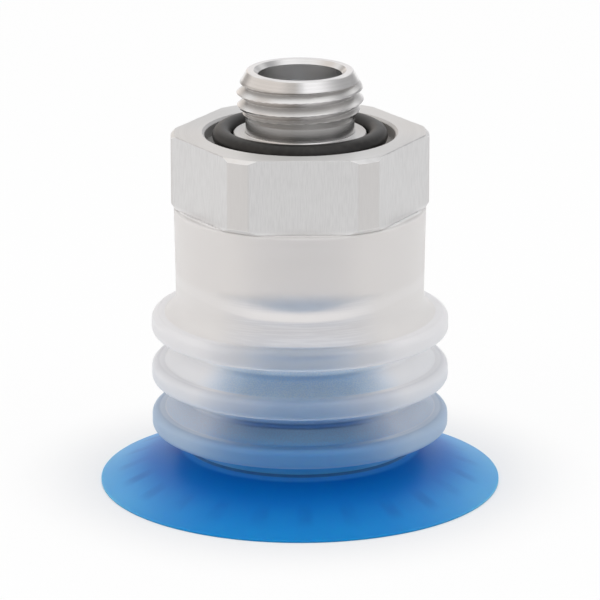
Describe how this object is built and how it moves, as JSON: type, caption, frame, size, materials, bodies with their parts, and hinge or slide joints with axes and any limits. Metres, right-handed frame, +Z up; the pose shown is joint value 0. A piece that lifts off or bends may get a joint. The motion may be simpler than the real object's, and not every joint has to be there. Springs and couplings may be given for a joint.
{
  "type": "vacuum suction cup with holder",
  "caption": "Bellows vacuum suction cup: translucent silicone folds with a soft flared blue lip, pushed onto a hexagonal aluminium holder with a bored, threaded stem and a face O-ring.",
  "frame": {"origin": "on the cup's axis, in the plane of the sealing rim", "axes": "+Z up the axis from the rim to the end of the stem; a flat of the hexagon faces -Y"},
  "size_m": [0.0414, 0.0414, 0.0437],
  "materials": {
    "turned_aluminium": "drawn flats, turned faces",
    "black_rubber": "satin moulded",
    "clear_silicone": "frosted translucent",
    "blue_silicone": "translucent satin"
  },
  "bodies": {
    "holder": {"holder_body": "turned_aluminium", "seal_ring": "black_rubber"},
    "bellows": {"bellows": "clear_silicone"},
    "lip": {"sealing_lip": "blue_silicone"}
  },
  "joints": [
    {"name": "stroke", "type": "slide", "parent": "holder", "child": "bellows", "axis": [0, 0, 1], "range_m": [0, 0.007], "stiffness_N_per_m": 500, "deforming": ["bellows"]},
    {"name": "lip_tilt", "type": "hinge", "parent": "bellows", "child": "lip", "pos_m": [0, 0, 0.00425], "axis": [0, 1, 0], "range_deg": [-9, 9], "stiffness_Nm_per_rad": 0.05}
  ]
}
